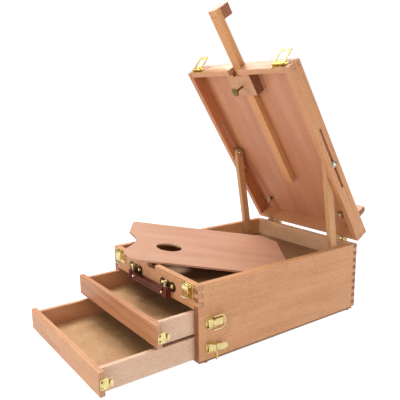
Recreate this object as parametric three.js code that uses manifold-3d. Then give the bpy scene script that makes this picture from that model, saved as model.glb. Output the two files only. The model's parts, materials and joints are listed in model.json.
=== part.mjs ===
// Wooden table easel: a beech sketch box with two drawers, a hinged lid that
// carries the canvas mast and ledge, two lid struts, brass latches, a leather
// handle and a loose palette. Millimetres, +Z up, drawers open towards -Y.
import * as THREE from 'three';
import { mergeVertices } from 'three/addons/utils/BufferGeometryUtils.js';
import Module from 'manifold-3d';

const wasm = await Module();
wasm.setup();

// ---------------------------------------------------------------- dimensions
const WIDTH = 300;            // case and lid, across X
const DEPTH = 400;            // case and lid, front to back
const CASE_HEIGHT = 136;      // case boards, without the feet
const LID_HEIGHT = 30;        // lid boards
const SIDE = 12;              // thickness of the case and lid sides
const BOARD = 10;             // thickness of rails, backs and drawer fronts
const PANEL = 3.2;            // thin plywood and hardboard
const GAP = 0.3;              // clearance between pieces that touch
const FINGERS = 18;           // finger-joint levels over the case height
const FINGER = CASE_HEIGHT / FINGERS;
const FRONT_RAIL_FINGERS = 6; // the front rail is this many fingers tall
const LID_FINGERS = 4;
const FOOT_HEIGHT = 3;
const STAND = FOOT_HEIGHT + PANEL + GAP;  // height of the case boards above the table

const HALF = WIDTH / 2;
const INNER = HALF - SIDE;
const RAIL_BOTTOM = CASE_HEIGHT - FRONT_RAIL_FINGERS * FINGER;

const HINGE_OFFSET = 4.4;     // hinge axis behind the back board
const RIM_GAP = 0.4;          // hinge axis above the case rim, and lid rim above the axis
const LID_OPEN = THREE.MathUtils.degToRad(58.5);
const LID_FRONT = -(HINGE_OFFSET + DEPTH);  // lid frame: front face, axis at y = 0
const LID_BACK = -HINGE_OFFSET;
const LID_RIM = RIM_GAP;
const LID_TOP = RIM_GAP + LID_HEIGHT;
const LID_PANEL_INNER = LID_TOP - 0.5 - PANEL;


// ----------------------------------------------------------------- materials
function finish(color, roughness, metalness = 0) {
  return new THREE.MeshStandardMaterial({ color, roughness, metalness });
}

const BEECH = finish(0xd39a6c, 0.55);
const PALE_BEECH = finish(0xdcb48e, 0.55);
const PLYWOOD = finish(0xcf977a, 0.5);
const HARDBOARD = finish(0x96713f, 0.7);
const BRASS = finish(0xd9b95a, 0.25, 1);
const DARK_BRASS = finish(0x5d4a28, 0.4, 1);
const LEATHER = finish(0x5a2620, 0.5);
const RUBBER = finish(0xb6503c, 0.8);

// ------------------------------------------------------------- shape helpers
const AXIS = {
  x: new THREE.Vector3(1, 0, 0),
  y: new THREE.Vector3(0, 1, 0),
  z: new THREE.Vector3(0, 0, 1),
};

function toSolid(geometry) {
  const bare = geometry.clone();
  bare.deleteAttribute('normal');
  bare.deleteAttribute('uv');
  const merged = mergeVertices(bare, 1e-4);
  return new wasm.Manifold(new wasm.Mesh({
    numProp: 3,
    vertProperties: new Float32Array(merged.attributes.position.array),
    triVerts: new Uint32Array(merged.index.array),
  }));
}

function toGeometry(solid) {
  const mesh = solid.getMesh();
  const geometry = new THREE.BufferGeometry();
  geometry.setAttribute('position', new THREE.BufferAttribute(new Float32Array(mesh.vertProperties), 3));
  geometry.setIndex(new THREE.BufferAttribute(new Uint32Array(mesh.triVerts), 1));
  geometry.computeVertexNormals();
  return geometry;
}

// Join the first list of geometries and cut the second list out of the result.
function shape(joined, removed = []) {
  let solid = toSolid(joined[0]);
  for (const geometry of joined.slice(1)) solid = solid.add(toSolid(geometry));
  for (const geometry of removed) solid = solid.subtract(toSolid(geometry));
  return toGeometry(solid);
}

function block([x0, x1], [y0, y1], [z0, z1]) {
  const geometry = new THREE.BoxGeometry(Math.abs(x1 - x0), Math.abs(y1 - y0), Math.abs(z1 - z0));
  return geometry.translate((x0 + x1) / 2, (y0 + y1) / 2, (z0 + z1) / 2);
}

// A round bar along one axis; centre gives its place on the other two.
function bar(axis, [from, to], centre, radius, endRadius = radius, sides = 20) {
  const geometry = new THREE.CylinderGeometry(endRadius, radius, Math.abs(to - from), sides);
  geometry.applyQuaternion(new THREE.Quaternion().setFromUnitVectors(AXIS.y, AXIS[axis]));
  const place = new THREE.Vector3(...centre);
  place[axis] = (from + to) / 2;
  return geometry.translate(place.x, place.y, place.z);
}

// Extrude an outline along an axis. The outline is drawn in (y, z) for x,
// in (x, z) for y and in (x, y) for z.
function extrude(axis, outline, [from, to], curveSegments = 8) {
  const depth = to - from;
  const geometry = new THREE.ExtrudeGeometry(outline, { depth, bevelEnabled: false, curveSegments });
  const turn = new THREE.Matrix4();
  if (axis === 'x') turn.makeBasis(AXIS.y, AXIS.z, AXIS.x);
  if (axis === 'y') turn.makeBasis(AXIS.x, AXIS.z, AXIS.y.clone().negate());
  geometry.applyMatrix4(turn);
  const start = axis === 'y' ? to : from;
  return geometry.translate(...AXIS[axis].clone().multiplyScalar(start).toArray());
}

function polygon(points) {
  return new THREE.Shape(points.map(([u, v]) => new THREE.Vector2(u, v)));
}

// Rectangle with its own radius at each corner, from low-left anticlockwise.
function rounded([u0, u1], [v0, v1], radii) {
  const [a, b, c, d] = Array.isArray(radii) ? radii : [radii, radii, radii, radii];
  const outline = new THREE.Shape();
  outline.moveTo(u0 + a, v0);
  outline.lineTo(u1 - b, v0);
  if (b) outline.absarc(u1 - b, v0 + b, b, -Math.PI / 2, 0);
  outline.lineTo(u1, v1 - c);
  if (c) outline.absarc(u1 - c, v1 - c, c, 0, Math.PI / 2);
  outline.lineTo(u0 + d, v1);
  if (d) outline.absarc(u0 + d, v1 - d, d, Math.PI / 2, Math.PI);
  outline.lineTo(u0, v0 + a);
  if (a) outline.absarc(u0 + a, v0 + a, a, Math.PI, Math.PI * 1.5);
  return outline;
}

// Strip with parallel edges that follows a smooth curve through its points.
function strip(points, thickness, steps = 12) {
  const curve = new THREE.SplineCurve(points.map(([u, v]) => new THREE.Vector2(u, v)));
  const left = [];
  const right = [];
  for (let i = 0; i <= steps; i += 1) {
    const at = curve.getPoint(i / steps);
    const along = curve.getTangent(i / steps);
    const across = new THREE.Vector2(-along.y, along.x).multiplyScalar(thickness / 2);
    left.push(at.clone().add(across));
    right.unshift(at.clone().sub(across));
  }
  return new THREE.Shape([...left, ...right]);
}

// ------------------------------------------------------------ scene building
const easel = new THREE.Group();
easel.name = 'easel';

function place(parent, name, geometry, material) {
  const mesh = new THREE.Mesh(geometry, material);
  mesh.name = name;
  parent.add(mesh);
  return mesh;
}

function group(parent, [x, y, z] = [0, 0, 0]) {
  const child = new THREE.Group();
  child.position.set(x, y, z);
  parent.add(child);
  return child;
}

const SIDES = [['left', -1], ['right', 1]];

// Blocks that clear every second finger level of a corner joint. start 0
// clears the top level, start 1 the one below it.
function fingerCuts([x0, x1], [y0, y1], top, count, pitch, start) {
  const cuts = [];
  for (let level = start; level < count; level += 2) {
    const high = top - level * pitch + (level === 0 ? 1 : GAP / 2);
    const low = top - (level + 1) * pitch - (level === count - 1 ? 1 : GAP / 2);
    cuts.push(block([x0, x1], [y0, y1], [low, high]));
  }
  return cuts;
}

// ---------------------------------------------------------------------- case
const box = group(easel, [0, 0, STAND]);

const FRONT_NOTCH_WIDTH = 28;
const FRONT_NOTCH_DEPTH = 9;
const FLOOR_TOP = 100.5;
const FLOOR_BACK_GAP = 1.8;   // open line between the compartment floor and the back board
const BOTTOM_EDGE = 0.8;      // the bottom sheet stops this far inside the boards
const BOTTOM_BACK_EDGE = 7;
const RUNNER = { width: 7.7, low: 42.1, high: 46.9, front: 1, back: 20 };

function caseSide(x) {
  const outer = x * HALF;
  const inner = x * INNER;
  const across = [Math.min(outer, inner) - 1, Math.max(outer, inner) + 1];
  return shape([block([inner, outer], [0, DEPTH], [0, CASE_HEIGHT])], [
    ...fingerCuts(across, [-1, BOARD + GAP], CASE_HEIGHT, FRONT_RAIL_FINGERS, FINGER, 0),
    ...fingerCuts(across, [DEPTH - BOARD - GAP, DEPTH + 1], CASE_HEIGHT, FINGERS, FINGER, 0),
  ]);
}

// A board across the case or lid whose ends are fingered into both sides.
function crossBoard([y0, y1], top, count, pitch, removed = []) {
  const cuts = SIDES.flatMap(([, x]) => fingerCuts(
    x < 0 ? [-HALF - 1, -INNER + GAP] : [INNER - GAP, HALF + 1],
    [y0 - 1, y1 + 1], top, count, pitch, 1,
  ));
  return shape([block([-HALF, HALF], [y0, y1], [top - count * pitch, top])], [...cuts, ...removed]);
}

for (const [side, x] of SIDES) {
  place(box, `case_side_${side}`, caseSide(x), BEECH);
  const runner = block([x * (INNER - GAP), x * (INNER - GAP - RUNNER.width)],
    [RUNNER.front, DEPTH - RUNNER.back], [RUNNER.low, RUNNER.high]);
  place(box, `runner_${side}`, runner, PALE_BEECH);
}
const thumbNotch = block([-FRONT_NOTCH_WIDTH / 2, FRONT_NOTCH_WIDTH / 2], [-1, BOARD + 1],
  [CASE_HEIGHT - FRONT_NOTCH_DEPTH, CASE_HEIGHT + 1]);
place(box, 'case_front_rail',
  crossBoard([0, BOARD], CASE_HEIGHT, FRONT_RAIL_FINGERS, FINGER, [thumbNotch]), BEECH);
place(box, 'case_back', crossBoard([DEPTH - BOARD, DEPTH], CASE_HEIGHT, FINGERS, FINGER), BEECH);
place(box, 'compartment_floor', block([-INNER + GAP, INNER - GAP],
  [BOARD + GAP, DEPTH - BOARD - FLOOR_BACK_GAP], [FLOOR_TOP - PANEL, FLOOR_TOP]), HARDBOARD);
place(box, 'bottom_panel', block([-HALF + BOTTOM_EDGE, HALF - BOTTOM_EDGE],
  [BOTTOM_EDGE, DEPTH - BOTTOM_BACK_EDGE], [-GAP - PANEL, -GAP]), HARDBOARD);

const FOOT = { fromSide: 7, fromEnd: 17, low: 4.6, high: 5.6 };
for (const [side, x] of SIDES) {
  for (const [end, y] of [['front', FOOT.fromEnd], ['back', DEPTH - FOOT.fromEnd]]) {
    const foot = bar('z', [-STAND, -STAND + FOOT_HEIGHT - GAP / 3],
      [x * (HALF - FOOT.fromSide), y, 0], FOOT.low, FOOT.high);
    place(box, `foot_${end}_${side}`, foot, RUBBER);
  }
}

// ------------------------------------------------------------------- drawers
const DRAWER = {
  side: 8, half: INNER - 0.8, length: 370, bottomLift: 2, frontHeight: 41, frontRound: 3,
};
// Heights above the case bottom, and how far each drawer stands open.
const DRAWERS = {
  upper: { front: 48.4, low: RUNNER.high + GAP, high: 87, out: 70, latch: 66 },
  lower: { front: 1.5, low: 0.8, high: RUNNER.low - 0.9, out: 172, latch: 22 },
};
const KEEPER = {
  thickness: 1.2, height: 18, back: 4.5, tab: 11.5, tabHeight: 11,
  lip: 1.4, lipReach: 4.4, lipHeight: 9.4, curl: 3.2, screw: 1.6, screwSpread: 4.6,
};

// Brass keeper on the right end of a drawer front. Its tab reaches back over
// the case side, and its lip holds the loop of the latch.
function keeper(z) {
  const { thickness, height, back, tab, tabHeight, screw, screwSpread } = KEEPER;
  const { lip, lipReach, lipHeight, curl } = KEEPER;
  const inner = HALF + GAP;
  const outline = rounded([-BOARD + 1, back], [z - height / 2, z + height / 2], [4, 0.8, 0.8, 4]);
  const plate = extrude('x', outline, [inner, inner + thickness]);
  const tongue = block([inner, inner + thickness], [0, tab], [z - tabHeight / 2, z + tabHeight / 2]);
  const lipSpan = [z - lipHeight / 2, z + lipHeight / 2];
  const stand = block([inner, inner + lipReach], [tab - lip, tab], lipSpan);
  const hook = block([inner + lipReach - thickness, inner + lipReach], [tab - lip - curl, tab], lipSpan);
  const screws = [-1, 1].map((up) => bar('x', [inner - 1, inner + thickness + 1],
    [0, -BOARD / 2 - GAP, z + up * screwSpread], screw, screw, 14));
  return shape([plate, tongue, stand, hook], screws);
}

function drawer(name) {
  const { side, half, length, bottomLift, frontHeight, frontRound } = DRAWER;
  const { front, low, high, out, latch } = DRAWERS[name];
  const body = group(box, [0, -out, 0]);
  const board = rounded([-BOARD, -GAP], [front, front + frontHeight], [frontRound, 0, 0, frontRound]);
  place(body, `${name}_drawer_front`, extrude('x', board, [-HALF, HALF], 5), BEECH);
  const inside = block([-half + side, half - side], [-1, length - side], [low - 1, high + 1]);
  const frame = block([-half, half], [0, length], [low, high]);
  place(body, `${name}_drawer_box`, shape([frame], [inside]), PALE_BEECH);
  const bottomHalf = half - side - GAP;
  place(body, `${name}_drawer_bottom`, block([-bottomHalf, bottomHalf],
    [0, length - side - GAP], [low + bottomLift, low + bottomLift + PANEL]), HARDBOARD);
  place(body, `${name}_hook_plate`, keeper(latch), BRASS);
}

drawer('upper');
drawer('lower');

// -------------------------------------------------- drawer latches, right side
const LATCH = {
  pinX: HALF + 3.6, pinY: 20, pinRadius: 0.9, barrelRadius: 1.9,
  half: 8, ear: 1.6, earBack: 5, earReach: 2.2, side: 1.9,
  leverLength: 33, leverSheet: 1.3, leverRound: 5.6, cheek: 1.4,
  loopPinY: 8.5, loopPinX: 2.9, loopStub: 0.55, loopLength: 23, loopHalf: 12, loopRound: 10, wire: 1.1,
};
const LATCH_REACH = LATCH.half - LATCH.side;  // half width of the lever between the ears

// Base plate with two ears and the pin that the lever turns on.
function latchBase() {
  const { pinX, pinY, pinRadius, half, ear, earBack, earReach } = LATCH;
  const face = HALF + GAP;
  const plate = extrude('x', rounded([pinY - 6, pinY + 11], [-half - 1, half + 1], 2), [face, face + 1]);
  const ears = [-1, 1].map((up) => block([face, pinX + earReach], [pinY - earBack, pinY + earBack],
    [up * (half - ear), up * half]));
  const pin = bar('z', [-half + 1, half - 1], [pinX, pinY, 0], pinRadius, pinRadius, 12);
  return shape([plate, ...ears, pin]);
}

// Lever in its own frame: pin on the z axis at the origin, lever towards +y.
function latchLever() {
  const { pinRadius, barrelRadius, half, leverLength, leverSheet, leverRound, cheek } = LATCH;
  const { loopPinX, loopPinY, loopStub } = LATCH;
  const barrel = bar('z', [-LATCH_REACH, LATCH_REACH], [0, 0, 0], barrelRadius, barrelRadius, 18);
  const face = 0.5;
  const outline = rounded([0.4, leverLength], [-LATCH_REACH, LATCH_REACH], [0, leverRound, leverRound, 0]);
  const sheet = extrude('x', outline, [face, face + leverSheet]);
  const cheeks = [-1, 1].map((up) => block([face, loopPinX + 1.7], [loopPinY - 1.8, loopPinY + 1.8],
    [up * (LATCH_REACH - cheek), up * LATCH_REACH]));
  const bore = bar('z', [-half, half], [0, 0, 0], pinRadius + GAP, pinRadius + GAP, 12);
  const eyes = bar('z', [-half, half], [loopPinX, loopPinY, 0], loopStub + GAP, loopStub + GAP, 12);
  return shape([barrel, sheet, ...cheeks], [bore, eyes]);
}

// Wire loop in its own frame: its ends turn inwards on the z axis at the
// origin and it reaches towards +y.
function latchLoop() {
  const { loopLength, loopHalf, loopRound, loopStub, wire, leverSheet, cheek } = LATCH;
  const ends = [-1, 1].map((up) => bar('z', [up * (LATCH_REACH - cheek + 0.1), up * loopHalf],
    [0, 0, 0], loopStub, loopStub, 10));
  const inside = loopRound - 2 * wire;
  const frame = rounded([-wire, loopLength], [-loopHalf - wire, loopHalf + wire],
    [0.4, loopRound, loopRound, 0.4]);
  const opening = rounded([-wire - 2, loopLength - 2 * wire], [-loopHalf + wire, loopHalf - wire],
    [0, inside, inside, 0]);
  return shape([extrude('x', frame, [-wire * 0.7, wire * 0.8]), ...ends],
    [extrude('x', opening, [-leverSheet * 3, leverSheet * 3])]);
}

function drawerLatch(name, z, leverAngle, loopAngle) {
  const base = group(box, [0, 0, z]);
  place(base, `${name}_latch_base`, latchBase(), BRASS);
  const lever = group(base, [LATCH.pinX, LATCH.pinY, 0]);
  lever.rotation.z = -THREE.MathUtils.degToRad(leverAngle);
  place(lever, `${name}_latch_lever`, latchLever(), BRASS);
  const loop = group(lever, [LATCH.loopPinX, LATCH.loopPinY, 0]);
  loop.rotation.z = -THREE.MathUtils.degToRad(loopAngle);
  place(loop, `${name}_latch_loop`, latchLoop(), BRASS);
}

drawerLatch('upper', DRAWERS.upper.latch, 0, 0);
drawerLatch('lower', DRAWERS.lower.latch, 12, 106);

// -------------------------------------------------------------------- handle
const HANDLE = { span: 116, y: -3.7, z: 108.6, pin: 1.3, edge: 1.2 };
const GRIP = { half: 68, thickness: 9, dip: 4.8, rise: 2, slot: 2.4, slotLow: 101.5 };
const HANDLE_PLATE = { z: 112, width: 50, lobe: 9, thickness: 1.4, narrowing: 2.5, screw: 1.9 };
const STAPLE = { half: 1.5, low: 103.8, high: 120.6, reach: 8.2, legs: 3, bridge: 2.6 };

// Peanut-shaped plate with two screws and a standing staple in the middle.
function handlePlate(x) {
  const { z, width, lobe, thickness, narrowing, screw } = HANDLE_PLATE;
  const { half, low, high, reach, legs, bridge } = STAPLE;
  const sheet = [-GAP - thickness, -GAP];
  const centres = [-1, 1].map((way) => x + way * (width / 2 - lobe));
  const lobes = centres.map((at) => bar('y', sheet, [at, 0, z], lobe, lobe, 28));
  const waist = block(centres, sheet, [z - lobe + narrowing, z + lobe - narrowing]);
  const staple = block([x - half, x + half], [-reach, -GAP], [low, high]);
  const eye = block([x - 2 * half, x + 2 * half], [bridge - reach, sheet[0]], [low + legs, high - legs]);
  const screws = centres.map((at) => bar('y', [-3, 0.5], [at, 0, z], screw, screw, 16));
  return shape([...lobes, waist, staple], [eye, ...screws]);
}

// Leather grip with forked ends; a pin across each fork hangs in a staple.
function handleGrip() {
  const { half, thickness, dip, rise, slot, slotLow } = GRIP;
  const bottom = RAIL_BOTTOM;
  const top = HANDLE.z + HANDLE.edge;
  const back = HANDLE.y + HANDLE.edge;
  const outline = new THREE.Shape();
  outline.moveTo(-half, bottom);
  outline.quadraticCurveTo(-half + 16, bottom + rise, -half + 30, bottom + rise);
  outline.lineTo(half - 30, bottom + rise);
  outline.quadraticCurveTo(half - 16, bottom + rise, half, bottom);
  outline.lineTo(half, top);
  outline.lineTo(half - 17, top);
  outline.quadraticCurveTo(half - 21, top - dip, half - 32, top - dip);
  outline.lineTo(-half + 32, top - dip);
  outline.quadraticCurveTo(-half + 21, top - dip, -half + 17, top);
  outline.lineTo(-half, top);
  const stapleX = SIDES.map(([, x]) => x * HANDLE.span / 2);
  const forks = stapleX.map((at) => block([at - slot, at + slot], [back - 20, back + 5], [slotLow, top + 2]));
  const pins = stapleX.map((at) => bar('x', [at - 4, at + 4],
    [0, HANDLE.y, HANDLE.z], HANDLE.pin, HANDLE.pin, 12));
  const leather = toSolid(extrude('y', outline, [back - thickness, back], 6));
  const cut = forks.reduce((solid, fork) => solid.subtract(toSolid(fork)), leather);
  return toGeometry(pins.reduce((solid, pin) => solid.add(toSolid(pin)), cut));
}

for (const [side, x] of SIDES) {
  place(box, `handle_plate_${side}`, handlePlate(x * HANDLE.span / 2), DARK_BRASS);
}
place(box, 'handle_grip', handleGrip(), LEATHER);

// ------------------------------------------------- lid catches on the case front
const CATCH_X = 121;
const CATCH = { width: 33, bottom: 108.5, top: 134, pinY: -4.2, pinZ: 130.4, leverHalf: 8.6 };

function catchPlate(x) {
  const { width, bottom, top, pinY, pinZ, leverHalf } = CATCH;
  const plate = extrude('y', rounded([x - width / 2, x + width / 2], [bottom, top], 2), [-1.5, -GAP]);
  const ears = SIDES.map(([, way]) => block([x + way * (leverHalf + GAP), x + way * (leverHalf + 1.8)],
    [pinY - 2, -GAP], [pinZ - 2, pinZ + 2]));
  const pin = bar('x', [x - leverHalf - 1, x + leverHalf + 1], [0, pinY, pinZ], 0.8, 0.8, 10);
  return shape([plate, ...ears, pin]);
}

// Sprung tongue that hangs from the pin, bows outwards and ends in a lip.
function catchLever(x) {
  const { bottom, pinY, pinZ, leverHalf } = CATCH;
  const profile = strip([[pinY - 1, pinZ], [pinY - 2.4, pinZ - 6], [pinY - 2.6, pinZ - 14],
    [pinY - 2.2, bottom + 3.4], [pinY - 5.4, bottom + 0.6]], 1.2);
  const tongue = extrude('x', profile, [x - leverHalf, x + leverHalf]);
  const barrel = bar('x', [x - leverHalf, x + leverHalf], [0, pinY, pinZ], 1.9, 1.9, 18);
  const bore = bar('x', [x - HALF, x + HALF], [0, pinY, pinZ], 1.1, 1.1, 12);
  return shape([tongue, barrel], [bore]);
}

for (const [side, x] of SIDES) {
  place(box, `catch_plate_${side}`, catchPlate(x * CATCH_X), BRASS);
  place(box, `catch_lever_${side}`, catchLever(x * CATCH_X), BRASS);
}

// ----------------------------------------------------------------------- lid
// The lid frame has its origin on the hinge axis. Turned back by the opening
// angle it would lie shut: y runs from the hinge towards the front as
// negative numbers, z is the height above the case rim.
const lidAxis = [0, DEPTH + HINGE_OFFSET, CASE_HEIGHT + RIM_GAP];
const lid = group(box, lidAxis);
lid.rotation.x = -LID_OPEN;

const SLOT = { near: 134, far: 270, width: 5.4, height: 15.5 };
const MAST = { width: 22, thickness: 12.3, bottom: 126, top: 518, hookLength: 22.5, hookReach: 21 };
const LID_NOTCH_WIDTH = 28;

function lidSide(x) {
  const { near, far, width, height } = SLOT;
  const across = x < 0 ? [-HALF - 1, -INNER + 1] : [INNER - 1, HALF + 1];
  const pitch = LID_HEIGHT / LID_FINGERS;
  const slot = rounded([-far, -near], [height - width / 2, height + width / 2], width / 2 - 0.01);
  return shape([block([x * INNER, x * HALF], [LID_FRONT, LID_BACK], [LID_RIM, LID_TOP])], [
    ...fingerCuts(across, [LID_FRONT - 1, LID_FRONT + BOARD + GAP], LID_TOP, LID_FINGERS, pitch, 0),
    ...fingerCuts(across, [LID_BACK - BOARD - GAP, LID_BACK + 1], LID_TOP, LID_FINGERS, pitch, 0),
    extrude('x', slot, across),
  ]);
}

for (const [side, x] of SIDES) place(lid, `lid_side_${side}`, lidSide(x), BEECH);
const mastNotch = block([-LID_NOTCH_WIDTH / 2, LID_NOTCH_WIDTH / 2],
  [LID_FRONT - 1, LID_FRONT + BOARD + 1], [LID_RIM - 1, LID_PANEL_INNER]);
const lidPitch = LID_HEIGHT / LID_FINGERS;
place(lid, 'lid_front_rail',
  crossBoard([LID_FRONT, LID_FRONT + BOARD], LID_TOP, LID_FINGERS, lidPitch, [mastNotch]), BEECH);
place(lid, 'lid_hinge_rail',
  crossBoard([LID_BACK - BOARD, LID_BACK], LID_TOP, LID_FINGERS, lidPitch), BEECH);
place(lid, 'lid_panel', block([-INNER + GAP, INNER - GAP],
  [LID_FRONT + BOARD + GAP, LID_BACK - BOARD - GAP],
  [LID_PANEL_INNER, LID_PANEL_INNER + PANEL]), PLYWOOD);

// -------------------------------------------------------- hinges at the back
const HINGE_X = 97;
const HINGE = { length: 45, leaf: 18, sheet: 1.2, barrel: 3, pin: 1.2, knuckles: 5 };

// One leaf in the frame of the hinge axis. way +1 lies on the lid, -1 on the
// case; the case leaf carries the pin.
function hingeLeaf(x, way) {
  const { length, leaf, sheet, barrel, pin, knuckles } = HINGE;
  const behind = -HINGE_OFFSET + GAP;
  const step = length / knuckles;
  const from = x - length / 2;
  const pieces = [block([from, from + length], [behind, behind + sheet], [way * (barrel + 0.4), way * leaf])];
  const holes = [];
  for (let k = way > 0 ? 1 : 0; k < knuckles; k += 2) {
    const span = [from + k * step + GAP / 2, from + (k + 1) * step - GAP / 2];
    pieces.push(bar('x', span, [0, 0, 0], barrel, barrel, 20));
    pieces.push(block(span, [behind, behind + sheet], [way * 0.6, way * (barrel + 1)]));
    if (way > 0) holes.push(bar('x', [span[0] - 1, span[1] + 1], [0, 0, 0], pin + GAP, pin + GAP, 14));
  }
  if (way < 0) pieces.push(bar('x', [from - 0.8, from + length + 0.8], [0, 0, 0], pin, pin, 14));
  return shape(pieces, holes);
}

for (const [side, x] of SIDES) {
  const fixed = group(box, lidAxis);
  place(fixed, `hinge_${side}_case_leaf`, hingeLeaf(x * HINGE_X, -1), BRASS);
  place(lid, `hinge_${side}_lid_leaf`, hingeLeaf(x * HINGE_X, 1), BRASS);
}

// ----------------------------------------------------- mast, guide and ledge
const GUIDE = { half: 33, near: 346, far: 392, face: 6.7, wall: 7 };
const THUMB = { x: 0, along: 366, shank: 2.2, head: 8.5, headThick: 3.5, headFace: -15.5 };
const mastBack = LID_PANEL_INNER - GAP;
const mastFront = mastBack - MAST.thickness;

place(lid, 'mast', block([-MAST.width / 2, MAST.width / 2], [-MAST.top, -MAST.bottom],
  [mastFront, mastBack]), PALE_BEECH);
place(lid, 'mast_hook', block([-MAST.width / 2, MAST.width / 2],
  [-MAST.top, -MAST.top + MAST.hookLength],
  [mastBack + GAP, mastBack + GAP + MAST.hookReach]), BEECH);

const guideBlock = block([-GUIDE.half, GUIDE.half], [-GUIDE.far, -GUIDE.near], [GUIDE.face, mastBack]);
const channel = block([-MAST.width / 2 - GAP, MAST.width / 2 + GAP],
  [-GUIDE.far - 1, -GUIDE.near + 1], [mastFront - GAP, LID_TOP]);
const topCut = block([-MAST.width / 2 - 2, MAST.width / 2 + 2],
  [-GUIDE.far - 1, -GUIDE.far + 4.5], [GUIDE.face - 1, LID_TOP]);
const screwHole = bar('z', [GUIDE.face - 1, mastFront], [THUMB.x, -THUMB.along, 0],
  THUMB.shank + GAP, THUMB.shank + GAP, 16);
place(lid, 'mast_guide_block', shape([guideBlock], [channel, topCut, screwHole]), PALE_BEECH);

// Thumb screw in its own frame: axis on z, pressing on the mast.
function thumbScrew() {
  const { shank, head, headThick, headFace } = THUMB;
  const ribs = 24;
  const rim = new THREE.Shape();
  for (let i = 0; i < ribs * 2; i += 1) {
    const angle = (i / (ribs * 2)) * Math.PI * 2;
    const radius = head - (i % 2) * 0.5;
    const point = [Math.cos(angle) * radius, Math.sin(angle) * radius];
    if (i === 0) rim.moveTo(...point);
    else rim.lineTo(...point);
  }
  return shape([
    extrude('z', rim, [headFace, headFace + headThick]),
    bar('z', [headFace + headThick - 0.5, headFace + headThick + 2], [0, 0, 0], 4.2, 3.2, 18),
    bar('z', [headFace + 1, mastFront - GAP], [0, 0, 0], shank, shank, 16),
  ]);
}
place(group(lid, [THUMB.x, -THUMB.along, 0]), 'mast_thumb_screw', thumbScrew(), BRASS);

const LEDGE = { half: 147, near: 44, far: 55.5, reach: 21, chamfer: 6 };
const ledgeFace = LID_TOP + GAP;
const ledgeOutline = polygon([
  [-LEDGE.near, ledgeFace],
  [-LEDGE.near, ledgeFace + LEDGE.reach - LEDGE.chamfer],
  [-LEDGE.near - LEDGE.chamfer * 0.6, ledgeFace + LEDGE.reach],
  [-LEDGE.far, ledgeFace + LEDGE.reach],
  [-LEDGE.far, ledgeFace],
]);
place(lid, 'ledge', extrude('x', ledgeOutline, [-LEDGE.half, LEDGE.half]), BEECH);

// Wing nut in its own frame: bore on z, wings along y.
const NUT = { bore: 2.8, hub: 4.6, neck: 3.6, height: 6, wing: 9.6 };
function wingNut() {
  const { bore, hub, neck, height, wing } = NUT;
  const wings = new THREE.Shape();
  wings.moveTo(-wing + 2.6, height + 3);
  wings.absarc(-wing + 2.8, height + 0.4, 2.6, Math.PI / 2, Math.PI * 1.15);
  wings.lineTo(-neck, 0.6);
  wings.lineTo(neck, 0.6);
  wings.lineTo(wing - 2.8 - 2.6 * Math.cos(Math.PI * 1.15), height + 0.4 + 2.6 * Math.sin(Math.PI * 1.15));
  wings.absarc(wing - 2.8, height + 0.4, 2.6, -Math.PI * 0.15, Math.PI / 2);
  wings.lineTo(neck, height - 1.5);
  wings.lineTo(-neck, height - 1.5);
  return shape([
    extrude('x', wings, [-1.1, 1.1], 5),
    bar('z', [0, height], [0, 0, 0], hub, neck, 18),
  ], [bar('z', [-1, height + 6], [0, 0, 0], bore, bore, 14)]);
}

const LEDGE_NUT = { x: 107, along: 50, turn: 0.6 };
for (const [side, x] of SIDES) {
  const nut = group(lid, [x * LEDGE_NUT.x, -LEDGE_NUT.along, LID_PANEL_INNER - GAP]);
  nut.rotation.set(Math.PI, 0, x * LEDGE_NUT.turn);
  place(nut, `ledge_wing_nut_${side}`, wingNut(), BRASS);
}

// -------------------------------------------------------------------- struts
// Each strut turns on a bolt that slides in the slot of the lid side; its
// lower end is held by a screw inside the case.
const STRUT = { width: 16, thickness: 10, boltAlong: 190, footY: 347.5, footZ: 113 };
const boltRadius = 2.5;
const strutOuter = INNER - 0.6;

const boltAtRest = new THREE.Vector3(0, -STRUT.boltAlong, SLOT.height)
  .applyAxisAngle(AXIS.x, -LID_OPEN)
  .add(new THREE.Vector3(...lidAxis));
const strutSpan = new THREE.Vector2(STRUT.footY - boltAtRest.y, STRUT.footZ - boltAtRest.z);

// Strut in its own frame: bolt hole at the origin, foot towards -z.
function strut(x) {
  const half = STRUT.width / 2;
  const length = strutSpan.length();
  const outline = rounded([-half, half], [-length - half, half], half - 0.01);
  const across = [x * strutOuter, x * (strutOuter - STRUT.thickness)].sort((a, b) => a - b);
  return shape([extrude('x', outline, across, 7)],
    [bar('x', [across[0] - 1, across[1] + 1], [0, 0, 0], boltRadius + GAP, boltRadius + GAP, 16)]);
}

// Carriage bolt with a domed head and a washer outside the lid side.
function strutBolt(x) {
  const face = HALF + GAP;
  const end = strutOuter - STRUT.thickness - NUT.height - 2;
  const dome = [];
  const head = 5.6;
  const steps = 6;
  for (let i = 0; i <= steps; i += 1) {
    const angle = (i / steps) * (Math.PI / 2);
    dome.push(new THREE.Vector2(head * Math.cos(angle), 1 + 3.4 * Math.sin(angle)));
  }
  dome[steps].x = 0;
  const profile = [new THREE.Vector2(0, 0), new THREE.Vector2(6.6, 0), new THREE.Vector2(6.6, 1), ...dome];
  const cap = new THREE.LatheGeometry(profile, 24);
  cap.applyQuaternion(new THREE.Quaternion().setFromUnitVectors(AXIS.y, AXIS.x)).translate(face, 0, 0);
  const bolt = toSolid(cap).add(toSolid(bar('x', [end, face + 1], [0, 0, 0], boltRadius, boltRadius, 16)));
  const geometry = toGeometry(bolt);
  if (x < 0) geometry.rotateY(Math.PI);
  return geometry;
}

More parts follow.
